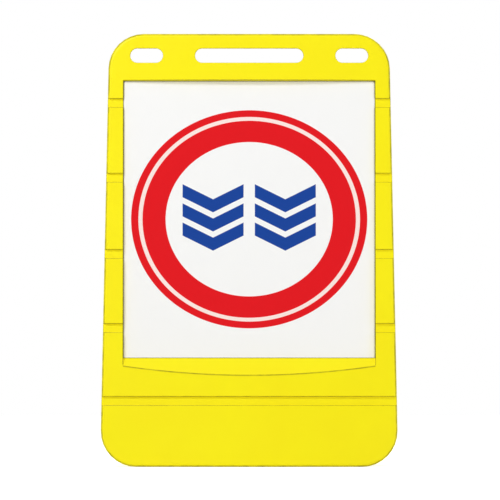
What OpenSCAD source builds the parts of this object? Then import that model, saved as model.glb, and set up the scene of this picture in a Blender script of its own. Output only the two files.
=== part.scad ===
// Folding barrier sign: two blow-moulded ballast boards hinged as an A-frame.
// Millimetres, +Z up, the front board faces -Y, the origin is on the floor at the centre.
// Everything is drawn in the open pose. The rear board is the front board turned half round.

/* [Board] */
// Height of the open sign
sign_h = 858; // [600:1:1200]
// Width at the floor, measured to the straight sides
foot_w = 590; // [400:1:800]
// Width at the top edge, measured to the straight sides
top_w = 556; // [380:1:780]
// Radius of the four corners seen from the front
corner_r = 70; // [30:1:100]
// Lean of each inner face from the vertical when the sign stands open, in degrees
lean = 10; // [7:0.5:14]
// Thickness of a board's top edge when open
top_t = 24; // [20:1:40]
// Thickness at the side rails, at the floor
foot_t = 57; // [45:1:90]
// Extra thickness of the bulged middle at the floor
foot_crown = 26; // [5:1:40]
// Depth below the floor of the apex of the cone that the front is part of
apex_drop = 350; // [200:10:1000]
// Wall of the moulding
wall = 3; // [2:0.5:5]
// Radius of the moulding's outer edges
edge_r = 6; // [2:0.5:8]

/* [Handle slots] */
// Length of the hand slot
slot_len = 215; // [140:1:240]
// Height of all three slots
slot_h = 28.5; // [24:0.5:36]
// Depth of the slot's centre line below the top edge
slot_drop = 43; // [36:0.5:60]
// Length of each end slot
end_slot_len = 65; // [40:1:80]
// Distance between the centres of the end slots
end_slot_pitch = 407.5; // [330:0.5:430]

/* [Sign recess] */
// Width of the recess
recess_w = 500; // [340:1:520]
// Height of the recess in front view
recess_h = 550; // [360:1:600]
// Depth of the recess's upper edge below the top edge
recess_drop = 93; // [85:1:140]
// Depth of the sign face behind the rail at the upper edge
recess_d_top = 5; // [3:0.5:8]
// Depth of the sign face behind the rail at the lower edge
recess_d_foot = 10; // [6:0.5:14]
// Fall of the ledge under the sign for each unit outwards
ledge_fall = 1.135; // [0.8:0.005:1.6]
// Thickness of the sign plate
plate_t = 3; // [2:0.5:5]
// Gap round the sign plate
plate_gap = 0.8; // [0.3:0.1:3]
// Thickness of the mounting tape
tape_t = 1; // [0.5:0.1:2]
// Width of each tape strip
tape_w = 25; // [10:1:50]

/* [Stiffening grooves] */
// Width of a groove
groove_w = 18; // [10:1:24]
// Depth of a groove
groove_d = 4; // [2:0.5:5]

/* [Hinge] */
// Depth of the hinge axis below the top edge
hinge_drop = 77; // [70:1:90]
// Distance between the two faces when the sign is folded
fold_gap = 4; // [2:0.5:10]
// Distance between the top lips, which butt when the sign is open
lip_gap = 0.6; // [0.4:0.1:2]
// Distance of each hinge's middle from the centre line
hinge_x = 178; // [140:1:190]
// Width of one hinge ear
ear_w = 16; // [10:0.5:20]
// Radius of a hinge ear
ear_r = 13; // [10:0.5:14]
// Gap between two ears
ear_gap = 0.8; // [0.4:0.1:2]
// Outer radius of the steel sleeve that the ears turn on
sleeve_r = 6; // [5:0.5:8]
// Radial clearance of the ears on the sleeve
sleeve_clear = 0.08; // [0.05:0.01:0.1]
// Shank radius of the hinge bolt
bolt_r = 4; // [3:0.5:4.5]

/* [Filler] */
// Height of the filler's centre above the floor
filler_z = 112; // [100:1:140]
// Radius of the pocket round the cap
pocket_r = 50; // [45:1:55]
// Depth of the pocket
pocket_d = 33; // [30:1:36]
// Bore radius of the neck
neck_bore_r = 17; // [12:0.5:20]
// Height of the neck above the pocket's floor
neck_h = 12; // [11:0.5:14]
// Outer radius of the cap over its grip ribs
cap_r = 27; // [24:0.5:32]
// Lift of the cap for one turn
thread_pitch = 4; // [3:0.5:5]

/* [Spreader straps] */
// Height of the straps above the floor
strap_z = 205; // [180:1:230]
// Distance of each strap from the centre line
strap_x = 190; // [120:1:230]
// Width of the webbing
strap_w = 25; // [15:1:40]
// Thickness of the webbing
strap_t = 2; // [1:0.1:3]
// Length of webbing clamped at each end
strap_tail = 34; // [30:1:50]
// Depth of the anchor pocket
anchor_d = 6; // [5:0.5:8]
// Margin of the anchor pocket round the webbing
anchor_margin = 5; // [2:0.5:10]

/* [Hidden] */

// Shares of the height, from the top edge down, at which the grooves lie
groove_shares = [0.16, 0.333, 0.509, 0.68, 0.848];
// The grooves that also cross the inner face
inner_groove_shares = [0.16, 0.333, 0.509, 0.68];

// Overrun of every cut
over = 1;
contact_gap = 0.05;
arc_steps = 8;
crown_steps = 18;
wedge_steps = 5;
edge_angles = [0, 30, 60, 90];

hinge_z = sign_h - hinge_drop;
slot_z = sign_h - slot_drop;
recess_top_z = sign_h - recess_drop;
recess_foot_z = recess_top_z - recess_h;
side_draft = atan((foot_w - top_w) / 2 / sign_h);
half_gap = fold_gap / 2;
// Height at which the tilted inner face meets the upright lip
kink_z = hinge_z + half_gap * sin(lean)
    - (lip_gap / 2 - half_gap * cos(lean)) / sin(lean) * cos(lean);
// The front is part of a cone: its middle line is straight and its bulge is largest at the foot
curve = foot_crown * apex_drop / pow(foot_w / 2, 2);
middle_y_foot = -inner_y(0) + foot_t + foot_crown;
middle_y_top = top_t + curve * pow(top_w / 2, 2) / (sign_h + apex_drop);
deep = middle_y_foot + over;

// Depth positions of the board's faces at height z; the front board lies at -Y
function inner_y(z) = -half_gap / cos(lean) - (hinge_z - z) * tan(lean);
function face_y(z) = min(inner_y(z), -lip_gap / 2);
function middle_y(z) = middle_y_foot + (middle_y_top - middle_y_foot) * z / sign_h;
function front_y(x, z) = curve * x * x / (z + apex_drop) - middle_y(z);

// A board's plan at height z, with the front moved in by inset and the inner face by back
function plan(z, inset, back) = concat(
    [for (i = [0:crown_steps])
        let (x = foot_w * (i / crown_steps - 1 / 2))
            [x, front_y(x, z) + inset / cos(lean)]],
    [[foot_w / 2, face_y(z) - back / cos(lean)], [-foot_w / 2, face_y(z) - back / cos(lean)]]);

// One rounded corner of the outline, as points
function corner(cx, cz, r, from, to) =
    [for (i = [0:arc_steps])
        let (a = from + (to - from) * i / arc_steps)
            [cx + r * cos(a), cz + r * sin(a)]];
function corner_x(cz) = foot_w / 2 - cz * tan(side_draft) - corner_r / cos(side_draft);
function right_side(inset) = concat(
    corner(corner_x(corner_r), corner_r, corner_r - inset, -90, side_draft),
    corner(corner_x(sign_h - corner_r), sign_h - corner_r, corner_r - inset, side_draft, 90));
function flipped(points) = [for (i = [len(points) - 1:-1:0]) [-points[i].x, points[i].y]];
// The front view of a board, moved in by inset
function outline(inset) = concat(right_side(inset), flipped(right_side(inset)));

// Extrudes a front view over the board's whole depth
module prism() {
    rotate([90, 0, 0])
        linear_extrude(deep)
            children();
}

// The wedge between the inner face and the bulged front, without its outline: plans at equal
// steps up to the kink and one at the top edge, joined by faces. The front's quads are cut in
// two along the cone's own straight lines
module wedge(inset, back) {
    heights = concat([for (i = [0:wedge_steps]) kink_z * i / wedge_steps], [sign_h]);
    rows = len(heights);
    n = crown_steps + 3;
    points = [for (z = heights) for (p = plan(z, inset, back)) [p.x, p.y, z]];
    front = [for (k = [0:rows - 2]) for (i = [0:crown_steps - 1])
        let (a = k * n + i, b = a + 1, c = b + n, d = a + n)
            each i < crown_steps / 2 ? [[a, d, b], [d, c, b]] : [[a, d, c], [a, c, b]]];
    rest = [for (k = [0:rows - 2]) for (i = [crown_steps:n - 1])
        let (a = k * n + i, b = k * n + (i + 1) % n)
            [a, a + n, b + n, b]];
    polyhedron(points, concat(front, rest,
        [[for (i = [0:n - 1]) i]],
        [[for (i = [n - 1:-1:0]) (rows - 1) * n + i]]));
}

// The board's envelope, its outer edges rounded
module envelope() {
    hull()
        for (a = edge_angles)
            intersection() {
                prism() polygon(outline(edge_r * (1 - cos(a))));
                wedge(edge_r * (1 - sin(a)), edge_r * (1 - sin(a)));
            }
}

// Places children on the inner face at height z, +Z out of the face and +Y down the board
module on_inner_face(x, z, sink = 0) {
    translate([x, inner_y(z), z])
        rotate([-90 - lean, 0, 0])
            translate([0, 0, -sink])
                children();
}

// A slot with round ends, centred, grown by grow
module slot_shape(len, grow) {
    half = len / 2 - slot_h / 2;
    r = slot_h / 2 + grow;
    for (side = [-1, 1])
        translate([side * half, 0])
            circle(r, $fn = 48);
    translate([-half, -r])
        square([2 * half, 2 * r]);
}

module slots(grow) {
    translate([0, over, slot_z])
        prism() {
            slot_shape(slot_len, grow);
            for (side = [-1, 1])
                translate([side * end_slot_pitch / 2, 0])
                    slot_shape(end_slot_len, grow);
        }
}

// The seat of the sign face: a plane that leans more than the rails do
seat_y_top = front_y(recess_w / 2, recess_top_z) + recess_d_top;
seat_y_foot = front_y(recess_w / 2, recess_foot_z) + recess_d_foot;
seat_lean = atan((seat_y_top - seat_y_foot) / recess_h);
seat_len = recess_h / cos(seat_lean);

// Places children on the seat's lower edge, +Y up along the seat and +Z out of the board
module on_seat() {
    translate([0, seat_y_foot, recess_foot_z])
        rotate([90 - seat_lean, 0, 0])
            children();
}
// A block that lies on the seat, inset from its edges, between two depths behind it
module seat_block(inset, from, to) {
    on_seat()
        translate([-recess_w / 2 + inset, inset, -to])
            cube([recess_w - 2 * inset, seat_len - 2 * inset, to - from]);
}
module recess(grow) {
    seat_block(-grow, -deep, plate_t + tape_t + grow);
    foot = recess_foot_z - grow;
    start = seat_y_foot + grow / 2;
    // The ledge falls outwards from the seat's lower edge
    translate([-recess_w / 2 - grow, 0, 0])
        rotate([90, 0, 90])
            linear_extrude(recess_w + 2 * grow)
                polygon([
                    [start, foot],
                    [-deep, foot - (deep + start) * ledge_fall],
                    [-deep, foot + recess_h / 2]]);
}

// The grooves in the front face: bands across the board, down to a wedge with its front moved in
module front_grooves(grow) {
    difference() {
        for (share = groove_shares)
            translate([-foot_w, -deep, sign_h * (1 - share) - groove_w / 2 - grow])
                cube([2 * foot_w, deep, groove_w + 2 * grow]);
        wedge(groove_d + grow, -over);
    }
}

module inner_grooves(grow) {
    for (share = inner_groove_shares)
        on_inner_face(0, sign_h * (1 - share), groove_d + grow)
            translate([-foot_w, -groove_w / 2 - grow, 0])
                cube([2 * foot_w, groove_w + 2 * grow, groove_d + grow + over]);
}

// The trough that the hinge lies in, open at the side edge for putting in the bolt
module hinge_trough(grow) {
    inner_end = hinge_x - ear_span / 2 - bolt_end_room - grow;
    r = trough_r + grow;
    for (side = [-1, 1])
        translate([side > 0 ? inner_end : -foot_w, -r, hinge_z - r])
            cube([foot_w - inner_end, 2 * r, 2 * r]);
}
trough_clear = 2;
trough_r = ear_r + trough_clear;
ear_step = ear_w + ear_gap;
ear_span = ear_w + 2 * ear_step;
// One ear in the middle of the right hinge, two outside on the left hinge
ear_places = [hinge_x, -hinge_x - ear_step, -hinge_x + ear_step];
washer_t = 1.6;
nut_h = 8;
thread_out = 2;
bolt_head_h = 5.3;
bolt_head_r = 6.5;
bolt_end_room = washer_t + nut_h + thread_out + over;

module ears() {
    web_y = -trough_r - wall;
    for (x = ear_places)
        translate([x - ear_w / 2, 0, hinge_z]) {
            rotate([0, 90, 0])
                cylinder(r = ear_r, h = ear_w, $fn = 48);
            translate([0, web_y, -ear_r])
                cube([ear_w, -web_y, 2 * ear_r]);
        }
}
module ear_bores() {
    for (x = [-hinge_x, hinge_x])
        translate([x - ear_span, 0, hinge_z])
            rotate([0, 90, 0])
                cylinder(r = sleeve_r + sleeve_clear, h = 2 * ear_span, $fn = 48);
}

neck_wall = 3;
neck_r = neck_bore_r + neck_wall;
cap_clear = 0.6;
cap_wall = 3;
cap_top_t = 3;
seal_t = 2;
cap_skirt_r = neck_r + cap_clear;
// Gap between the cap's skirt and the pocket's floor
cap_foot_gap = 1.5;

module filler_pocket(grow) {
    on_inner_face(0, filler_z, pocket_d + grow)
        cylinder(r = pocket_r + grow, h = pocket_d + grow + over, $fn = 64);
}
module neck() {
    on_inner_face(0, filler_z, pocket_d + wall)
        cylinder(r = neck_r, h = wall + neck_h, $fn = 64);
}
module neck_bore() {
    on_inner_face(0, filler_z, pocket_d + wall + over)
        cylinder(r = neck_bore_r, h = pocket_d + wall, $fn = 64);
}

anchor_w = strap_w + 2 * anchor_margin;
anchor_h = strap_tail + 2 * anchor_margin;
module anchor_pockets(grow) {
    for (x = [-strap_x, strap_x])
        on_inner_face(x, strap_z, anchor_d + grow)
            translate([-anchor_w / 2 - grow, -anchor_margin - grow, 0])
                cube([anchor_w + 2 * grow, anchor_h + 2 * grow, anchor_d + grow + over]);
}
rivet_r = 2.4;
rivet_head_r = 5;
rivet_head_h = 1.4;
rivet_clear = 0.1;
clamp_side = 20;
clamp_t = 1.5;
tail_end = 2;
rivet_drop = strap_tail - clamp_side / 2 - tail_end;
module rivet_bores(r) {
    for (x = [-strap_x, strap_x])
        on_inner_face(x, strap_z, anchor_d + wall + over)
            translate([0, rivet_drop, 0])
                cylinder(r = r, h = anchor_d + wall + over, $fn = 32);
}

// All that is cut from the envelope; grow moves each surface out, to leave a wall behind it
module hollows(grow) {
    slots(grow);
    recess(grow);
    front_grooves(grow);
    inner_grooves(grow);
    hinge_trough(grow);
    filler_pocket(grow);
    anchor_pockets(grow);
}

// The space for water or sand inside a board
module tank() {
    difference() {
        intersection() {
            prism() polygon(outline(wall));
            wedge(wall, wall);
        }
        hollows(wall);
        tank_posts();
    }
}
// The ears' webs stay solid where they meet the board
module tank_posts() {
    for (x = ear_places)
        translate([x - ear_w / 2, -trough_r - 2 * wall, hinge_z - ear_r])
            cube([ear_w, 2 * wall, 2 * ear_r]);
}

module shell() {
    color("gold")
        difference() {
            union() {
                difference() {
                    envelope();
                    hollows(0);
                    tank();
                }
                ears();
                neck();
            }
            ear_bores();
            neck_bore();
            rivet_bores(rivet_r + rivet_clear);
        }
}
module front_shell() { shell(); }
module rear_shell() { turned() shell(); }
module turned() { rotate([0, 0, 180]) children(); }

module sign_plate() {
    color("white") seat_block(plate_gap, 0, plate_t - contact_gap);
}
// One frame of tape, half a strip in from the plate's edge
module plate_tapes() {
    inset = plate_gap + tape_w / 2;
    back = plate_t + tape_t - contact_gap;
    color("dimgray")
        difference() {
            seat_block(inset, plate_t, back);
            seat_block(inset + tape_w, plate_t - over, back + over);
        }
}

// Hinge hardware, drawn along +X from the inner end of the ears
bolt_play = 0.1;
module along_hinge(side) {
    translate([side * hinge_x, 0, hinge_z])
        rotate([0, side * 90, 0])
            children();
}
sleeve_len = ear_span + ear_gap;
module hinge_sleeve(side) {
    color("silver")
        along_hinge(side)
            translate([0, 0, -sleeve_len / 2])
                difference() {
                    cylinder(r = sleeve_r, h = sleeve_len, $fn = 48);
                    translate([0, 0, -over])
                        cylinder(r = bolt_r + bolt_play, h = sleeve_len + 2 * over, $fn = 48);
                }
}
washer_r = 9;
module hinge_washer() {
    difference() {
        cylinder(r = washer_r, h = washer_t - contact_gap, $fn = 48);
        translate([0, 0, -over])
            cylinder(r = bolt_r + bolt_play, h = washer_t + 2 * over, $fn = 48);
    }
}
module hinge_washers() {
    color("silver")
        for (side = [-1, 1])
            along_hinge(side) {
                translate([0, 0, sleeve_len / 2 + contact_gap]) hinge_washer();
                translate([0, 0, -sleeve_len / 2 - washer_t]) hinge_washer();
            }
}
// The head lies at the outer end, where the trough opens
module hinge_bolt(side) {
    head_z = sleeve_len / 2 + washer_t + contact_gap;
    color("silver")
        along_hinge(side) {
            translate([0, 0, head_z])
                cylinder(r = bolt_head_r / cos(30), h = bolt_head_h, $fn = 6);
            translate([0, 0, -sleeve_len / 2 - washer_t - nut_h - thread_out])
                cylinder(r = bolt_r, h = head_z + sleeve_len / 2 + washer_t + nut_h + thread_out, $fn = 48);
        }
}
module hinge_nut(side) {
    collar_h = 1.6;
    color("silver")
        along_hinge(side)
            translate([0, 0, -sleeve_len / 2 - washer_t - contact_gap - nut_h])
                difference() {
                    union() {
                        translate([0, 0, collar_h])
                            cylinder(r = bolt_head_r / cos(30), h = nut_h - collar_h, $fn = 6);
                        cylinder(r = bolt_head_r - collar_h / 2, h = collar_h + over, $fn = 48);
                    }
                    translate([0, 0, -over])
                        cylinder(r = bolt_r + bolt_play, h = nut_h + 2 * over, $fn = 48);
                }
}

// The filler cap, seen from the pocket's floor: a skirt round the neck with grip ribs
grip_ribs = 18;
grip_r = 1.6;
module filler_cap() {
    height = neck_h - cap_foot_gap + seal_t + cap_top_t;
    body_r = cap_r - grip_r;
    key_h = 3;
    key_w = 6;
    color("gold")
        on_inner_face(0, filler_z, pocket_d - cap_foot_gap)
            difference() {
                union() {
                    cylinder(r = body_r, h = height, $fn = 72);
                    for (i = [1:grip_ribs])
                        rotate([0, 0, i * 360 / grip_ribs])
                            translate([body_r, 0, 0])
                                cylinder(r = grip_r, h = height - grip_r, $fn = 16);
                    translate([-body_r + cap_wall, -key_w / 2, height - over])
                        cube([2 * (body_r - cap_wall), key_w, key_h + over]);
                }
                translate([0, 0, -over])
                    cylinder(r = cap_skirt_r, h = height - cap_top_t + over, $fn = 72);
            }
}
module cap_seal() {
    color("dimgray")
        on_inner_face(0, filler_z, pocket_d - neck_h - contact_gap)
            difference() {
                cylinder(r = neck_r, h = seal_t - 2 * contact_gap, $fn = 64);
                translate([0, 0, -over])
                    cylinder(r = neck_bore_r - over, h = seal_t + 2 * over, $fn = 64);
            }
}

// The webbing strap: taut between the faces, its tails turned down into the anchor pockets
module strap(side) {
    seat = anchor_d - contact_gap;
    span = -inner_y(strap_z) + (seat - strap_t / 2) / cos(lean);
    color("black")
        difference() {
            translate([side * strap_x - strap_w / 2, 0, strap_z])
                rotate([90, 0, 90])
                    linear_extrude(strap_w) {
                        translate([-span, -strap_t / 2])
                            square([2 * span, strap_t]);
                        for (end = [-1, 1])
                            translate([-end * inner_y(strap_z), 0])
                                rotate(end * lean)
                                    translate([end > 0 ? seat - strap_t : -seat, -strap_tail])
                                        square([strap_t, strap_tail + strap_t]);
                    }
            for (turn = [0, 180])
                rotate([0, 0, turn])
                    on_inner_face(side * (turn > 0 ? -1 : 1) * strap_x, strap_z, seat)
                        translate([0, rivet_drop, -over])
                            cylinder(r = rivet_r + rivet_clear, h = strap_t + 2 * over, $fn = 32);
        }
}
module strap_clamps() {
    color("silver")
        for (x = [-strap_x, strap_x])
            on_inner_face(x, strap_z, anchor_d - strap_t - 2 * contact_gap)
                translate([0, rivet_drop, 0])
                    difference() {
                        translate([-clamp_side / 2, -clamp_side / 2, 0])
                            cube([clamp_side, clamp_side, clamp_t]);
                        translate([0, 0, -over])
                            cylinder(r = rivet_r + rivet_clear, h = clamp_t + 2 * over, $fn = 32);
                    }
}
module strap_rivets() {
    bulb_r = 4;
    bulb_h = 2.5;
    head_sink = anchor_d - strap_t - clamp_t - 3 * contact_gap;
    grip = anchor_d + wall - head_sink;
    color("silver")
        for (x = [-strap_x, strap_x])
            on_inner_face(x, strap_z, head_sink)
                translate([0, rivet_drop, 0]) {
                    cylinder(r1 = rivet_head_r, r2 = rivet_head_r - rivet_head_h, h = rivet_head_h, $fn = 32);
                    translate([0, 0, -grip - bulb_h])
                        cylinder(r = rivet_r, h = grip + bulb_h + rivet_head_h / 2, $fn = 32);
                    translate([0, 0, -grip - bulb_h - contact_gap])
                        cylinder(r = bulb_r, h = bulb_h, $fn = 32);
                }
}

front_shell();
rear_shell();
sign_plate();
plate_tapes();
hinge_bolt(-1);  // hinge_bolt_left
hinge_bolt(1);  // hinge_bolt_right
hinge_nut(-1);  // hinge_nut_left
hinge_nut(1);  // hinge_nut_right
hinge_sleeve(-1);  // hinge_sleeve_left
hinge_sleeve(1);  // hinge_sleeve_right
hinge_washers();
filler_cap();  // front_filler_cap
cap_seal();  // front_cap_seal
turned() filler_cap();  // rear_filler_cap
turned() cap_seal();  // rear_cap_seal
strap(-1);  // strap_left
strap(1);  // strap_right
strap_clamps();  // front_strap_clamps
turned() strap_clamps();  // rear_strap_clamps
strap_rivets();  // front_strap_rivets
turned() strap_rivets();  // rear_strap_rivets
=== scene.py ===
# %% [markdown]
# # Folding barrier sign
# Two hollow polyethylene boards lean against each other like a steep roof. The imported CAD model
# gives every piece its place and size. This script gives the pieces their finishes, replaces the
# webbing, the hinge hardware, the rivets and the seals by finer meshes, adds the thread of the
# filler necks, and sets up a plain studio.

# %% Load the frame
import math

import bmesh
import bpy
from mathutils import Matrix, Vector


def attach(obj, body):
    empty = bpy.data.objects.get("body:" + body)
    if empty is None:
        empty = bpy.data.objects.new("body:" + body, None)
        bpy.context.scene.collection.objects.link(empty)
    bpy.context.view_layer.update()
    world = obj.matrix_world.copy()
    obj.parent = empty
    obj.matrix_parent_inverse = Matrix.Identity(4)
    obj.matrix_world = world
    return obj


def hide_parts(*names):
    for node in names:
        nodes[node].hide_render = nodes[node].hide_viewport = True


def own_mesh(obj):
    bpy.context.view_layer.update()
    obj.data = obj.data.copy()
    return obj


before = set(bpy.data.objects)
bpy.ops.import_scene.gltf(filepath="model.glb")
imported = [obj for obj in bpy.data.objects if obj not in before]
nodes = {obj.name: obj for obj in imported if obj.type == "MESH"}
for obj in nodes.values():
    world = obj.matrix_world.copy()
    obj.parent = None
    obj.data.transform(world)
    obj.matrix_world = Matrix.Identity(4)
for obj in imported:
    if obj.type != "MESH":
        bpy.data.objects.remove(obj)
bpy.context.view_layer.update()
mm = 0.001

# %% [markdown]
# ## Nodes as sums
# A finish is easier to read as a formula than as boxes and wires. One class wraps a socket so
# that + - * / and ** add Math nodes, also with the number on the left. Every other node comes
# from one method, which sets the node up before it fills in the sockets.

# %% Sums of sockets
class Wire:
    """A socket of a finish that can be used in sums."""

    def __init__(self, finish, socket):
        self.finish = finish
        self.socket = socket

    def math(self, operation, *terms):
        return self.finish.node("ShaderNodeMath", {"operation": operation}, dict(enumerate(terms)))

    def __add__(self, other):
        return self.math("ADD", self, other)

    def __sub__(self, other):
        return self.math("SUBTRACT", self, other)

    def __mul__(self, other):
        return self.math("MULTIPLY", self, other)

    def __truediv__(self, other):
        return self.math("DIVIDE", self, other)

    def __pow__(self, other):
        return self.math("POWER", self, other)

    def __rsub__(self, other):
        return self.math("SUBTRACT", other, self)

    def __abs__(self):
        return self.math("ABSOLUTE", self)

    __radd__ = __add__
    __rmul__ = __mul__

    def most(self, other):
        return self.math("MAXIMUM", self, other)

    def sine(self):
        return self.math("SINE", self)

    def ramp(self, low, high):
        """0 below low, 1 above high, and straight between."""
        return self.finish.node(
            "ShaderNodeMapRange", {"clamp": True}, {0: self, 1: low, 2: high, 3: 0.0, 4: 1.0})


# %% A finish and its nodes
class Finish:
    """A tree of nodes that is written as a formula, for a material or for the world."""

    def __init__(self, owner, shader="Principled BSDF", **fixed):
        owner.use_nodes = True
        self.owner = owner
        self.tree = owner.node_tree
        self.shader = self.tree.nodes[shader]
        self.set(**fixed)

    def node(self, kind, settings=None, inputs=None, output=0):
        made = self.tree.nodes.new(kind)
        for name, value in (settings or {}).items():
            setattr(made, name, value)
        for name, value in (inputs or {}).items():
            self.fill(made.inputs[name], value)
        return Wire(self, made.outputs[output])

    def fill(self, socket, value):
        if isinstance(value, Wire):
            self.tree.links.new(value.socket, socket)
        else:
            socket.default_value = value

    def set(self, **values):
        for name, value in values.items():
            self.fill(self.shader.inputs[name.replace("_", " ")], value)

    def done(self):
        print(self.owner.name, "has", len(self.tree.nodes), "nodes")
        return self.owner

    def place(self):
        return self.node("ShaderNodeTexCoord", output="Object")

    def axes(self, vector=None):
        """The place on the piece, or another vector, as three numbers."""
        split = self.node("ShaderNodeSeparateXYZ", None, {0: vector or self.place()})
        return [Wire(self, socket) for socket in split.socket.node.outputs]

    def noise(self, per_metre, detail):
        return self.node(
            "ShaderNodeTexNoise", None,
            {"Vector": self.place(), "Scale": per_metre, "Detail": detail})

    def blend(self, share, first, second):
        """The first colour where share is 0, the second where it is 1."""
        return self.node(
            "ShaderNodeMix", {"data_type": "RGBA"},
            {"Factor": share, 6: first, 7: second}, output=2)

    def bump(self, height, depth, normal=None):
        inputs = {"Height": height, "Distance": depth, "Strength": 1.0}
        if normal is not None:
            inputs["Normal"] = normal
        return self.node("ShaderNodeBump", None, inputs)

    def soft_edge(self, radius):
        return self.node("ShaderNodeBevel", {"samples": 8}, {"Radius": radius})

    def edge_share(self, rounded, starts=0.012, full=0.12):
        """How near an edge is: 0 on a plain face, 1 on the edge, from its rounded normal."""
        true_normal = self.node("ShaderNodeNewGeometry", output="True Normal")
        same = self.node(
            "ShaderNodeVectorMath", {"operation": "DOT_PRODUCT"},
            {0: rounded, 1: true_normal}, output="Value")
        return (1 - same).ramp(starts, full)

    def corner_share(self, reach, starts=0.12, full=0.42):
        """How deep a place lies in an inside corner: 0 in the open, 1 in the corner."""
        open_sky = self.node(
            "ShaderNodeAmbientOcclusion", {"samples": 12}, {"Distance": reach}, output="AO")
        return (1 - open_sky).ramp(starts, full)


# %% Colours
def paint(red, green, blue):
    """A colour given in the 0 to 255 steps of a paint chart, as linear light."""
    shares = [step / 255 for step in (red, green, blue)]
    linear = [s / 12.92 if s <= 0.04045 else ((s + 0.055) / 1.055) ** 2.4 for s in shares]
    return (*linear, 1.0)


def scaled(colour, factor):
    """The same colour, lighter or darker."""
    return (*(factor * share for share in colour[:3]), 1.0)


print("a mid grey as linear light:", [round(share, 3) for share in paint(128, 128, 128)])

# %% [markdown]
# ## Yellow polyethylene
# Blow-moulded polyethylene has a satin skin: never quite flat, with a fine orange peel from the
# mould and a few cloudy patches. Painted images could show this, but they would have to be
# unwrapped on to each board, and a formula stays sharp from any distance. The Bevel node gives
# the rounded normal of each small edge. Where it turns away from the face's own normal there is
# an edge, and there the skin is painted darker: painted shade along edges and creases, patchy
# with wear.
#
# Three more lines belong to the boards alone. The two halves of the mould leave a thin parting
# line round the sides, at a fixed depth from the inner face. The ledge under the panel meets the
# bulge at too flat an angle for the Bevel node, so its dark line of painted shade comes from the
# ledge's own plane. The rounded outer rims, which face half forward and half sideways, get a band
# of painted shade, patchy with wear.

# %% Where the inner faces lie
lean = math.radians(10)
inner_foot = 139.743 * mm


def inner_y(z):
    """The inner face of a board at height z, as a distance from the middle plane."""
    return inner_foot - z * math.tan(lean)


print("inner faces apart at the foot, mm:", round(2 * inner_y(0) / mm, 1))


# %% Lines on the boards
parting_depth = 12 * mm
seam_core = 0.15 * mm
seam_half_w = 0.8 * mm
seat_lean = math.radians(11.55)
recess_half_w = 250 * mm
ledge_top_y = 153.05 * mm
ledge_top_z = 215 * mm
ledge_fall = 1.135
ledge_line_core = 1.2 * mm
ledge_line_half_w = 2.4 * mm
ledge_line_end = 0.5 * mm
lies_flat = (0.4, 0.5)
rim_begins = (0.15, 0.3)
rim_ends = (0.75, 0.86)


def board_lines(finish, x, y, z):
    """Masks of the parting line, and of the painted shade along the ledge's edge and the rims of a
    board.
    """
    depth = abs(y) * math.cos(lean) + z * math.sin(lean) - inner_foot * math.cos(lean)
    seam = 1 - abs(depth - parting_depth).ramp(seam_core, seam_half_w)
    normal_y, normal_z = finish.axes(finish.node("ShaderNodeTexCoord", output="Normal"))[1:]

    # The ledge's edge is painted as a dark line of painted shade.
    above_ledge = z - ledge_top_z + (abs(y) - ledge_top_y) * ledge_fall
    near_ledge = 1 - abs(above_ledge).ramp(ledge_line_core, ledge_line_half_w)
    under_panel = 1 - abs(x).ramp(recess_half_w - ledge_line_end, recess_half_w)
    upright = 1 - normal_z.ramp(*lies_flat)

    # 1 where the skin faces as the panel does, 0 on the sides
    facing = abs(normal_y) * math.cos(seat_lean) + normal_z * math.sin(seat_lean)
    # The rims get a band of painted shade, between facing forward and facing sideways.
    rim = facing.ramp(*rim_begins) * (1 - facing.ramp(*rim_ends))
    return seam, near_ledge * under_panel * upright, rim


print("the ledge falls by", round(math.degrees(math.atan(ledge_fall)), 1), "degrees")

# %% Yellow polyethylene
satin_gloss = 0.22
satin_rough = 0.38
skin_round = 1.8 * mm
skin_relief = 0.6 * mm
peel_height = 0.12
wave_height = 2.0
seam_height = 0.7
clouds_per_metre = 7.0
waves_per_metre = 14.0
scuffs_per_metre = 55.0
pores_per_metre = 420.0
cloud_range = (0.35, 0.8)
cloud_tone = 0.5
scuff_range = (0.35, 0.65)
scuff_tone = 0.3
# How far the edges are painted darker: painted shade, made patchy by the scuff noise as wear.
edge_shade_tone = 0.5
# How far the rims and the ledge's line are painted darker: painted shade.
board_rim_shade = 0.45
ledge_line_shade = 0.8


def polyethylene(name, colour, shade, edge_shade_and_wear, parted):
    """Two tones in clouds, and a third on the edges: painted shade along edges and rims, patchy
    with wear. Heights are shares of the relief.
    """
    finish = Finish(bpy.data.materials.new(name), Specular_IOR_Level=satin_gloss)
    x, y, z = finish.axes()
    rounded = finish.soft_edge(skin_round)
    edge = finish.edge_share(rounded)
    cloud = finish.noise(clouds_per_metre, detail=3.0)
    peel = finish.noise(pores_per_metre, detail=1.0)
    wave = finish.noise(waves_per_metre, detail=1.0)
    scuff = finish.noise(scuffs_per_metre, detail=5.0).ramp(*scuff_range) * scuff_tone
    tone = finish.blend(cloud.ramp(*cloud_range) * cloud_tone, colour, shade)
    height = peel * peel_height + wave * wave_height
    if parted:
        seam, ledge_edge, rim = board_lines(finish, x, y, z)
        height = height + seam * seam_height
        edge = edge.most(ledge_edge * ledge_line_shade).most(rim * (board_rim_shade + scuff))
    finish.set(
        # Edges, the ledge's line and the rims take the dark third colour: painted shade, patchy
        # with wear.
        Base_Color=finish.blend(edge * (edge_shade_tone + scuff), tone, edge_shade_and_wear),
        Roughness=satin_rough + cloud * 0.1 + edge * 0.08,
        Normal=finish.bump(height, skin_relief, rounded))
    return finish.done()


# The third colour is the painted shade, mixed with wear, on edges and rims.
board_yellow = polyethylene(
    "board_yellow", paint(255, 242, 0), paint(252, 232, 0), paint(92, 78, 0), True)
cap_yellow = polyethylene(
    "cap_yellow", paint(250, 226, 0), paint(240, 212, 0), paint(170, 140, 0), False)
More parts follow.
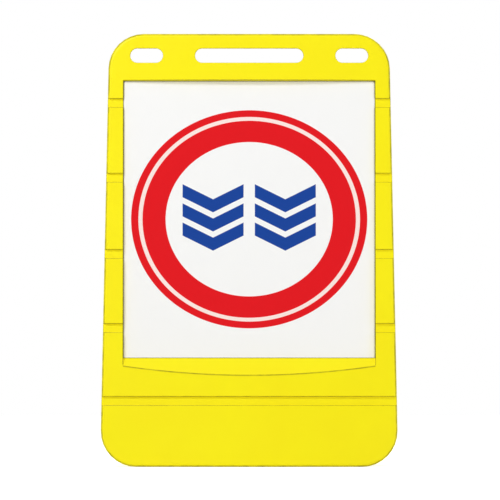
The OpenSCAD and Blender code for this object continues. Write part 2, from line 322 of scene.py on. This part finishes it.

# %% [markdown]
# ## The printed panel
# The panel is a white sheet with a screen print: two red bands with a pale line between, and a
# blue motif in the middle. A print has no thickness worth modelling, so it is a formula on the
# panel's own material. The distance from the centre, divided by the ring's half width and half
# height, is 1 on the ring's outer edge, which makes every band a simple comparison. Along the rim,
# where the recess stands above the panel, the sheet is painted darker as painted shade. Ambient
# occlusion finds that corner.

# %% Sizes and inks of the print
ring_half_w = 234.1 * mm
ring_half_h = 216.2 * mm
ring_centre_z = 490 * mm
band_shares = {"line_out": 0.938, "line_in": 0.9035, "red_in": 0.7075}
motif_centre_z = 493.5 * mm
motif_pitch = 143.2 * mm
motif_w = 121 * mm
chevron_h = 30 * mm
chevron_stroke = 26 * mm
chevron_step = 38 * mm
ink_edge = 0.4 * mm
ink_height = 0.04
panel_white = paint(251, 251, 250)
ink_red = paint(228, 0, 16)
ink_pale = paint(255, 234, 228)
ink_blue = paint(0, 62, 152)
print("ring in mm:", round(2 * ring_half_w / mm, 1), "by", round(2 * ring_half_h / mm, 1))


# %% Ring and motif
def ring_bands(x, z):
    """Masks of the red bands and of the pale line between them."""
    across = x / ring_half_w
    upright = (z - ring_centre_z) / ring_half_h
    reach = (across * across + upright * upright) ** 0.5
    edge_share = ink_edge / ring_half_w

    def inside(share):
        return 1 - reach.ramp(share - edge_share, share + edge_share)

    red = inside(1.0) - inside(band_shares["red_in"])
    line = inside(band_shares["line_out"]) - inside(band_shares["line_in"])
    return red, line


def chevron_stacks(x, z):
    """A mask of two stacks: the panel is folded at its middle, then each stack at its own."""
    from_stack = abs(abs(x) - motif_pitch / 2)
    sag = (z - motif_centre_z) - from_stack * (2 * chevron_h / motif_w)
    stack = None
    for row in (-1, 0, 1):
        from_row = abs(sag - (row * chevron_step - chevron_h / 2))
        stroke = 1 - from_row.ramp(chevron_stroke / 2 - ink_edge, chevron_stroke / 2 + ink_edge)
        stack = stroke if stack is None else stack.most(stroke)
    return stack * (1 - from_stack.ramp(motif_w / 2 - ink_edge, motif_w / 2 + ink_edge))


# %% Printed panel
sheet_round = 0.4 * mm
sheet_relief = 0.8 * mm
sheet_rough = 0.26
haze_per_metre = 60.0
flow_per_metre = 9.0
# Dark brown painted shade along the panel's rim, in the corner under the recess wall.
panel_rim_shade_colour = paint(74, 70, 52)
rim_shade_reach = 5 * mm
rim_shade_share = 0.85


def printed_panel():
    finish = Finish(bpy.data.materials.new("printed_panel"), Specular_IOR_Level=satin_gloss)
    x, _, z = finish.axes()
    red, line = ring_bands(x, z)
    motif = chevron_stacks(x, z)
    ink = red.most(motif)
    colour = finish.blend(red, panel_white, ink_red)
    colour = finish.blend(line, colour, ink_pale)
    colour = finish.blend(motif, colour, ink_blue)
    haze = finish.noise(haze_per_metre, detail=4.0)
    flow = finish.noise(flow_per_metre, detail=1.0)
    # Painted shade in the corner along the rim, found by ambient occlusion.
    painted_rim_shade = finish.corner_share(rim_shade_reach) * rim_shade_share
    finish.set(
        Base_Color=finish.blend(painted_rim_shade, colour, panel_rim_shade_colour),
        Roughness=sheet_rough + haze * 0.1 + ink * 0.06,
        Normal=finish.bump(flow + ink * ink_height, sheet_relief, finish.soft_edge(sheet_round)))
    return finish.done()


panel_print = printed_panel()

# %% [markdown]
# ## Metal, rubber, foam and webbing
# Zinc plate is a grey metal with faint clouds and fine scratches. Rubber and foam are dark and
# dull. Webbing is woven, with ribs that run across the strap. Modelling each yarn would be far
# too heavy for a strap this narrow, so two waves at the real pitch of the yarn make the weave,
# one along the strap and one across it. The tails hang down and the run lies level, so y + z
# grows along both.

# %% Plated metal
plate_clouds_per_metre = 160.0
scratches_per_metre = 900.0
scratch_depth = 0.04 * mm
plate_cloud_range = (0.3, 0.75)
plate_cloud_tone = 0.6
plate_cloud_rough = 0.14


def plated(name, colour, shade, rough):
    finish = Finish(bpy.data.materials.new(name), Metallic=1.0)
    cloud = finish.noise(plate_clouds_per_metre, detail=4.0)
    scratch = finish.noise(scratches_per_metre, detail=3.0)
    finish.set(
        Base_Color=finish.blend(
            cloud.ramp(*plate_cloud_range) * plate_cloud_tone, colour, shade),
        Roughness=rough + cloud * plate_cloud_rough,
        Normal=finish.bump(scratch, scratch_depth))
    return finish.done()


zinc = plated("zinc_plate", paint(186, 189, 194), paint(146, 149, 155), 0.28)
aluminium = plated("plain_aluminium", paint(208, 209, 212), paint(176, 178, 182), 0.36)


# %% Rubber and foam
dull_gloss = 0.3
dull_rough = 0.72
grain_rough = 0.16
grain_light = 1.5


def dull(name, colour, grain_per_metre, grain_depth):
    finish = Finish(bpy.data.materials.new(name), Specular_IOR_Level=dull_gloss)
    grain = finish.noise(grain_per_metre, detail=3.0)
    finish.set(
        Base_Color=finish.blend(grain, colour, scaled(colour, grain_light)),
        Roughness=dull_rough + grain * grain_rough,
        Normal=finish.bump(grain, grain_depth))
    return finish.done()


rubber = dull("moulded_rubber", paint(40, 40, 41), 900.0, 0.05 * mm)
foam = dull("closed_foam", paint(70, 71, 73), 1400.0, 0.2 * mm)

# %% Webbing
yarn_pitch = 2.1 * mm
yarns_across = 1.5
yarn_depth = 0.35 * mm
yarn_gap_shade = 0.45
yarn_rough = 0.92
fuzz_per_metre = 2600.0
fuzz_height = 0.15


def woven(name, colour):
    """Ribs across the strap at the yarn's pitch, crossed by a finer and weaker warp."""
    finish = Finish(
        bpy.data.materials.new(name),
        Specular_IOR_Level=0.25, Sheen_Weight=0.15, Sheen_Roughness=0.4)
    x, y, z = finish.axes()
    turn = math.tau / yarn_pitch
    rib = ((y + z) * turn).sine()
    warp = (x * (turn * yarns_across)).sine()
    weave = rib * (warp * 0.3 + 0.7) * 0.5 + 0.5
    fuzz = finish.noise(fuzz_per_metre, detail=2.0)
    # The gaps between the ribs are painted darker: painted shade in the weave.
    gap_painted_shade = scaled(colour, yarn_gap_shade)
    finish.set(
        Base_Color=finish.blend(weave * (0.7 + fuzz * 0.3), gap_painted_shade, colour),
        Roughness=yarn_rough - weave * 0.12,
        Normal=finish.bump(weave + fuzz * fuzz_height, yarn_depth))
    return finish.done()


webbing = woven("woven_webbing", paint(43, 44, 47))

# %% Finishes for the CAD pieces
finishes = {
    "sign_plate": panel_print,
    "plate_tapes": foam,
    "front_shell": board_yellow, "rear_shell": board_yellow,
    "front_filler_cap": cap_yellow, "rear_filler_cap": cap_yellow,
}
for name, material in finishes.items():
    nodes[name].data.materials.clear()
    nodes[name].data.materials.append(material)
    print(name, "is finished in", material.name)

# %% [markdown]
# ## Rings joined into pieces
# Almost every small piece here is a row of rings: a bolt is turned, a strap is one section
# carried along a path. A ring is a list of points, a loft joins each ring to the next, and an
# outline of radius and height pairs turns into rings. A radius may also be a function of the
# angle, which makes hexagons, square plates and threads with the same few lines. A separate
# modifier for each would take more set-up than the rings themselves.

# %% Ring helpers
ring_points = 72
sharp_from = math.radians(32)


def loft(rings, closed=False):
    """Points and faces through rings. The ends get a face each, unless closed joins them."""
    count = len(rings[0])
    last = len(rings) - 1
    pairs = [(a, a + 1) for a in range(last)] + ([(last, 0)] if closed else [])
    faces = [
        (a * count + i, a * count + (i + 1) % count, b * count + (i + 1) % count, b * count + i)
        for a, b in pairs for i in range(count)]
    if not closed:
        faces += [tuple(range(count)), tuple(last * count + i for i in range(count))]
    return [point for ring in rings for point in ring], faces


def turned(place, outline, closed=False):
    """Turns (radius, height) pairs round the Z axis of place; either may follow the angle."""
    def at(value, angle):
        return value(angle) if callable(value) else value

    angles = [math.tau * i / ring_points for i in range(ring_points)]
    return loft([
        [place @ Vector((at(r, a) * math.cos(a), at(r, a) * math.sin(a), at(h, a)))
         for a in angles]
        for r, h in outline], closed)


def tube(inner_r, outer_r, low, high, cut):
    """The outline of a sleeve, washer or seal, with its four edges cut."""
    return [
        (inner_r, low + cut), (inner_r + cut, low), (outer_r - cut, low), (outer_r, low + cut),
        (outer_r, high - cut), (outer_r - cut, high), (inner_r + cut, high),
        (inner_r, high - cut)]


def on_inner_face(turn, x, z, down, sink):
    """A place on a board's inner face: Z out of it, Y down it. turn is 0 in front, 1 behind."""
    return (
        Matrix.Rotation(math.pi * turn, 4, "Z")
        @ Matrix.Translation((x, -inner_y(z), z))
        @ Matrix.Rotation(math.radians(-90) - lean, 4, "X")
        @ Matrix.Translation((0, down, -sink)))


# %% From rings to a piece
def make(name, shapes, material, slot, body, *stands_for):
    """One piece out of several closed shapes, riding on a body."""
    points, faces = [], []
    for shape_points, shape_faces in shapes:
        start = len(points)
        points += shape_points
        faces += [[start + i for i in face] for face in shape_faces]
    mesh = bpy.data.meshes.new(name)
    mesh.from_pydata(points, [], faces)
    tidy = bmesh.new()
    tidy.from_mesh(mesh)
    bmesh.ops.recalc_face_normals(tidy, faces=tidy.faces)
    for face in tidy.faces:
        face.smooth = True
    tidy.to_mesh(mesh)
    tidy.free()
    mesh.set_sharp_from_angle(angle=sharp_from)
    mesh.materials.append(material)
    piece = bpy.data.objects.new(name, mesh)
    bpy.context.collection.objects.link(piece)
    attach(piece, body)
    if stands_for:
        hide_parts(*stands_for)
    print(name, "has", len(mesh.polygons), "faces")
    return piece


# %% [markdown]
# ## Hinge hardware
# Each hinge turns on an M8 bolt in a steel sleeve, between two washers, with a lock nut at its
# inner end. Cylinders cut by Booleans would do for the plain parts, but rings also hold what
# they can't. The head and the nut are hexagons whose corners are cut by a shallow cone, so the
# height of their last ring follows the angle. The thread is a real helix: its radius depends on
# the height less the share of a turn.

# %% Hinge sizes
hinge_x = 178 * mm
hinge_z = 781 * mm
sleeve_half = 25.2 * mm
sleeve_r = 6 * mm
washer_r = 9 * mm
washer_t = 1.6 * mm
washer_roll = 0.3 * mm
washer_end = sleeve_half + washer_t
gap = 0.05 * mm
steel_cut = 0.5 * mm
bore_r = 4.1 * mm
nut_h = 8 * mm
print("length over the washers, mm:", round(2 * washer_end / mm, 1))

# %% Hexagons
hex_across = 13 * mm
hex_round_r = hex_across / 2 * 0.96
hex_neck_r = hex_across * 0.46
corner_cut = math.radians(30)


def hexagon(angle):
    return hex_across / 2 / math.cos(angle % math.radians(60) - math.radians(30))


def cut_corners(height, towards):
    """The height of a hexagon's end, cut back at its corners by a 30 degree cone."""
    return lambda angle: height - towards * max(0, hexagon(angle) - hex_round_r) * math.tan(
        corner_cut)


# %% Bolt
bolt_r = 4 * mm
bolt_tip_r = bolt_r - 1.1 * mm
head_h = 5.3 * mm
head_step = 0.4 * mm
dish_r = hex_across * 0.34
dish_floor_r = hex_across * 0.32
dish_depth = 0.3 * mm
thread_out = 2 * mm
thread_in = 2 * mm
thread_pitch = 1.25 * mm
thread_depth = 0.62 * mm
thread_rows = 8
flank = 1.5


def helix(height, start):
    """The radius round the bolt's thread at one height, which fades in from its start."""
    def radius(angle):
        phase = (height / thread_pitch - angle / math.tau) % 1
        crest = min(1, max(0, (1 - abs(2 * phase - 1)) * flank - (flank - 1) / 2))
        run_in = min(1, (height - start) / thread_pitch)
        return bolt_r - thread_depth * (1 - crest * run_in)
    return radius


def bolt_outline():
    """The thread in rows from the tip, the shank, and the head with its shallow dish."""
    tip = -washer_end - nut_h - thread_out
    thread_end = -washer_end + thread_in
    rows = math.floor((thread_end - tip) / thread_pitch * thread_rows)
    heights = [tip + row * thread_pitch / thread_rows for row in range(1, rows)]
    head_z = washer_end + gap
    top = head_z + head_h
    return [
        (bolt_tip_r, tip), *((helix(height, tip), height) for height in heights),
        (bolt_r, thread_end), (bolt_r, head_z), (hex_neck_r, head_z),
        (hex_neck_r, head_z + head_step), (hexagon, head_z + head_step),
        (hexagon, cut_corners(top, 1)), (hex_round_r, top), (dish_r, top),
        (dish_floor_r, top - dish_depth)]


# %% Nut
collar_h = 1.6 * mm
collar_r = hex_across / 2 - collar_h / 2
collar_cut = 0.8 * mm
collar_gap = 0.1 * mm


def nut_outline():
    """A round collar, then the hexagon with its corners cut at both ends."""
    low = -washer_end - gap - nut_h
    high = -washer_end - gap
    neck = low + collar_h
    return [
        (bore_r, low), (collar_r - collar_cut, low), (collar_r, low + collar_cut),
        (collar_r, neck), (hex_neck_r, neck), (hexagon, cut_corners(neck + collar_gap, -1)),
        (hexagon, cut_corners(high, 1)), (hex_round_r, high), (bore_r + steel_cut, high),
        (bore_r, high - steel_cut)]


# %% Bolts, nuts, sleeves and washers
washers = []
for side, hand in ((-1, "left"), (1, "right")):
    along = Matrix.Translation((side * hinge_x, 0, hinge_z)) @ Matrix.Rotation(
        math.radians(90) * side, 4, "Y")
    make(f"hinge_bolt_{hand}_threaded", [turned(along, bolt_outline())],
         zinc, "zinc_steel", "front_half", f"hinge_bolt_{hand}")
    make(f"hinge_nut_{hand}_cut", [turned(along, nut_outline(), closed=True)],
         zinc, "zinc_steel", "front_half", f"hinge_nut_{hand}")
    sleeve = tube(bore_r, sleeve_r, -sleeve_half, sleeve_half, steel_cut)
    make(f"hinge_sleeve_{hand}_cut", [turned(along, sleeve, closed=True)],
         zinc, "zinc_steel", "front_half", f"hinge_sleeve_{hand}")
    for face in (-washer_end, sleeve_half + gap):
        washer = tube(bore_r, washer_r, face, face + washer_t - gap, washer_roll)
        washers.append(turned(along, washer, closed=True))
make("hinge_washers_stamped", washers, zinc, "zinc_steel", "front_half", "hinge_washers")

# %% [markdown]
# ## Spreader straps
# Two webbing straps stop the boards from sliding apart. Each is taut between the boards when
# the sign stands, and its tails are turned down into pockets and riveted. Cloth simulation
# would only flatten webbing this narrow, so its section is carried along a path. The level run
# is a piece of its own, because it crumples when the boards fold, while each tail stays with
# its board. The bend belongs to the tail, so the seam between the pieces is in the level part.

# %% Strap sizes
strap_z = 205 * mm
strap_x = 190 * mm
strap_w = 25 * mm
strap_t = 2 * mm
strap_roll = 0.8 * mm
tail_sink = 4.95 * mm
tail_len = 34 * mm
tail_steps = 8
tail_turn = math.radians(90) - lean
bend_r = 3 * mm
bend_steps = 6
run_steps = 60
run_sag = 2 * mm
corner_y = inner_y(strap_z) + tail_sink / math.cos(lean)
bend_reach = bend_r * math.tan(tail_turn / 2)
bend_y = corner_y - bend_reach
print("strap run in mm:", round(2 * bend_y / mm, 1))


# %% A strap's section along its path
def strap_ring(x, y, z, slope):
    """The strap's section, its corners rolled, where its path rises by the angle slope."""
    ring = []
    for side_x, side_n, first in ((1, 1, 0), (-1, 1, 90), (-1, -1, 180), (1, -1, 270)):
        for further in (0, 30, 60, 90):
            angle = math.radians(first + further)
            across = side_x * (strap_w / 2 - strap_roll) + strap_roll * math.cos(angle)
            out = side_n * (strap_t / 2 - strap_roll) + strap_roll * math.sin(angle)
            ring.append(Vector((
                x + across, y - out * math.sin(slope), z + out * math.cos(slope))))
    return ring


def level_run(x):
    """From tail to tail with a slight sag, which starts and ends level."""
    rings = []
    for step in range(run_steps + 1):
        share = 2 * step / run_steps - 1
        slope = math.atan(4 * run_sag * share * (1 - share * share) / bend_y)
        rings.append(strap_ring(
            x, share * bend_y, strap_z - run_sag * (1 - share * share) ** 2, slope))
    return loft(rings)


def tail(x, side):
    """From the level part round the bend and down the pocket, towards +Y or -Y."""
    path = [(bend_y, strap_z, 0.0)]
    for step in range(1, bend_steps + 1):
        angle = tail_turn * step / bend_steps
        path.append((
            bend_y + bend_r * math.sin(angle), strap_z - bend_r * (1 - math.cos(angle)), -angle))
    y, z, slope = path[-1]
    for step in range(1, tail_steps + 1):
        down = (tail_len - bend_reach) * step / tail_steps
        path.append((y + down * math.sin(lean), z - down * math.cos(lean), slope))
    return loft([strap_ring(x, side * y, z, side * slope) for y, z, slope in path])


# %% Straps
for side, hand in ((-1, "left"), (1, "right")):
    x = side * strap_x
    run = make(f"strap_{hand}_run", [level_run(x)],
               webbing, "black_webbing", "front_half", f"strap_{hand}")
    make(f"strap_{hand}_front_tail", [tail(x, -1)], webbing, "black_webbing", "front_half")
    make(f"strap_{hand}_rear_tail", [tail(x, 1)], webbing, "black_webbing", "rear_half")
    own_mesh(run)

# %% [markdown]
# ## Clamp plates and rivets
# A square plate spreads each rivet's pull over the webbing. A bevelled cube would need a Boolean
# for its hole, while rings make both at once: the plate is a square with rounded corners, which
# a superellipse gives as one radius per angle. The rivet has a low domed head outside and a
# flattened bulb inside the board, joined by its shank.

# %% Clamp plate
clamp_half = 10 * mm
clamp_t = 1.5 * mm
clamp_roll = 0.35 * mm
clamp_squareness = 9
rivet_hole = 2.5 * mm


def square_plate(less):
    def radius(angle):
        return (clamp_half - less) / (
            abs(math.cos(angle)) ** clamp_squareness
            + abs(math.sin(angle)) ** clamp_squareness) ** (1 / clamp_squareness)
    return radius


def clamp_outline():
    """A square plate with rolled edges round the rivet's hole."""
    return [
        (rivet_hole, 0), (square_plate(clamp_roll), 0), (square_plate(0), clamp_roll),
        (square_plate(0), clamp_t - clamp_roll), (square_plate(clamp_roll), clamp_t),
        (rivet_hole + clamp_roll, clamp_t), (rivet_hole, clamp_t - clamp_roll)]


# %% Rivet
rivet_r = 2.4 * mm
rivet_grip = 6.65 * mm
rivet_head_r = 5 * mm
rivet_head_h = 1.4 * mm
rivet_rim_h = 0.3 * mm
rivet_rim_cut = 0.2 * mm
bulb_r = 4 * mm
bulb_h = 2.5 * mm
dome_angles = range(0, 90, 12)


def rivet_outline():
    """The bulb inside the board, the shank, and the domed head."""
    dome = [
        (rivet_head_r * math.cos(math.radians(a)),
         rivet_rim_h + (rivet_head_h - rivet_rim_h) * math.sin(math.radians(a)))
        for a in dome_angles]
    return [
        (bulb_r * 0.6, -rivet_grip - bulb_h), (bulb_r, -rivet_grip - bulb_h * 0.7),
        (bulb_r, -rivet_grip - bulb_h * 0.25), (bulb_r * 0.8, -rivet_grip - gap),
        (rivet_r, -rivet_grip - gap), (rivet_r, 0), (rivet_head_r - rivet_rim_cut, 0), *dome]


# %% Clamps and rivets
rivet_down = 22 * mm
clamp_sink = 3.9 * mm
head_sink = 2.35 * mm

for turn, board in ((0, "front"), (1, "rear")):
    plates, rivets = [], []
    for x in (-strap_x, strap_x):
        place = on_inner_face(turn, x, strap_z, rivet_down, clamp_sink)
        plates.append(turned(place, clamp_outline(), closed=True))
        place = on_inner_face(turn, x, strap_z, rivet_down, head_sink)
        rivets.append(turned(place, rivet_outline()))
    make(f"{board}_strap_clamps_pressed", plates,
         zinc, "zinc_steel", f"{board}_half", f"{board}_strap_clamps")
    make(f"{board}_strap_rivets_domed", rivets,
         aluminium, "rivet_aluminium", f"{board}_half", f"{board}_strap_rivets")

# %% [markdown]
# ## Filler necks
# Under each cap lies a flat rubber ring on the neck's rim. The cap runs on a coarse thread of
# two and a bit turns, which shows when the cap is off. A Screw modifier would leave its ends
# blunt. Here a thin section is carried along a helix round the neck instead, and it swells from
# almost nothing and fades out again.

# %% Neck thread
neck_r = 20 * mm
neck_rise = 4 * mm
neck_turns = 2.25
steps_per_turn = 60
swell_steps = 10
ridge_sink = 0.3 * mm
ridge_h = 0.45 * mm
ridge_foot = 0.9 * mm
ridge_crest = 0.35 * mm


def neck_ridge(place):
    """The thread's ridge, its foot sunk a little into the neck."""
    steps = round(neck_turns * steps_per_turn)
    foot_r = neck_r - ridge_sink
    rings = []
    for step in range(steps + 1):
        angle = math.tau * step / steps_per_turn
        height = neck_rise * step / steps_per_turn
        swell = min(1, (step + 1) / swell_steps, (steps - step + 1) / swell_steps)
        ring = []
        for radius, rise in (
                (foot_r, -ridge_foot), (neck_r + ridge_h, -ridge_crest),
                (neck_r + ridge_h, ridge_crest), (foot_r, ridge_foot)):
            out = foot_r + (radius - neck_r + ridge_sink) * swell
            ring.append(place @ Vector((
                out * math.cos(angle), out * math.sin(angle), height + rise * swell)))
        rings.append(ring)
    return loft(rings)


# %% Seals and neck threads
filler_z = 112 * mm
neck_start_sink = 32 * mm
seal_sink = 20.95 * mm
seal_h = 1.9 * mm
seal_out = 20 * mm
seal_in = 16 * mm
seal_soft = 0.5 * mm

for turn, board in ((0, "front"), (1, "rear")):
    seal_place = on_inner_face(turn, 0, filler_z, 0, seal_sink)
    seal = tube(seal_in, seal_out, 0, seal_h, seal_soft)
    make(f"{board}_cap_seal_rolled", [turned(seal_place, seal, closed=True)],
         rubber, "seal_rubber", f"{board}_seal", f"{board}_cap_seal")
    neck_place = on_inner_face(turn, 0, filler_z, 0, neck_start_sink)
    make(f"{board}_neck_thread", [neck_ridge(neck_place)],
         board_yellow, "yellow_polyethylene", f"{board}_half")

# %% [markdown]
# ## The studio
# The sign is seen straight from the front, with no perspective, so a very long lens stands far
# away, which looks the same as an orthographic camera. A soft key light from the upper left and
# a dim one from the right model the bulge and the ledge, and a third one lights the rear board.
# What the camera sees behind the sign is white, and so is what the gloss reflects.

# %% Camera
view_span = 0.991
view_centre = Vector((1.6 * mm, 0.0, 428.9 * mm))
front_y = -0.1
camera_distance = 40.0
sensor_w = 36.0
far_end = 200.0

camera = bpy.data.objects.new("camera", bpy.data.cameras.new("camera"))
bpy.context.collection.objects.link(camera)
camera.location = view_centre + Vector((0, front_y - camera_distance, 0))
camera.rotation_euler = (math.radians(90), 0, 0)
camera.data.sensor_width = sensor_w
camera.data.lens = sensor_w * camera_distance / view_span
camera.data.clip_end = far_end
bpy.context.scene.camera = camera
print("lens in mm:", round(camera.data.lens))


# %% Lights
middle = Vector((0, 0, 0.42))


def softbox(name, place, size, power):
    lamp = bpy.data.lights.new(name, "AREA")
    lamp.shape = "DISK"
    lamp.size = size
    lamp.energy = power
    box = bpy.data.objects.new(name, lamp)
    bpy.context.collection.objects.link(box)
    box.location = place
    box.rotation_euler = (middle - Vector(place)).to_track_quat("-Z", "Y").to_euler()
    print(name, "light:", size, "m across,", power, "W")


softbox("key", (-1.9, -2.6, 3.9), size=1.4, power=92)
softbox("fill", (2.8, -2.4, 1.2), size=2.2, power=14)
softbox("rear", (1.6, 3.2, 2.8), size=2.0, power=48)


# %% What the camera sees behind the sign
white = (1, 1, 1, 1)
ambient = 0.5


def seen_directly(finish):
    """1 for rays from the camera, from a gloss or through something clear."""
    seen = finish.node("ShaderNodeLightPath", output="Is Camera Ray")
    for name in ("Is Glossy Ray", "Is Transmission Ray"):
        seen = seen.most(finish.node("ShaderNodeLightPath", output=name))
    return seen


sky = Finish(bpy.data.worlds.new("studio"), "Background", Color=white)
sky.set(Strength=ambient + seen_directly(sky) * (1 - ambient))
bpy.context.scene.world = sky.done()
print("the world lights the sign at", ambient)

# %% Floor
floor_half = 12.0
floor_grey = (0.86, 0.86, 0.86, 1)
floor_rough = 0.9
floor_glow = 0.6

floor_finish = Finish(
    bpy.data.materials.new("floor_paint"),
    Base_Color=floor_grey, Roughness=floor_rough, Emission_Color=white)
floor_finish.set(Emission_Strength=seen_directly(floor_finish) * floor_glow)
floor_mesh = bpy.data.meshes.new("floor")
floor_mesh.from_pydata(
    [(sx * floor_half, sy * floor_half, 0) for sx, sy in ((-1, -1), (1, -1), (1, 1), (-1, 1))],
    [], [(0, 1, 2, 3)])
floor_mesh.materials.append(floor_finish.done())
floor = bpy.data.objects.new("floor", floor_mesh)
bpy.context.collection.objects.link(floor)
print("the floor is", 2 * floor_half, "m wide")

bpy.context.scene.view_settings.view_transform = "Standard"
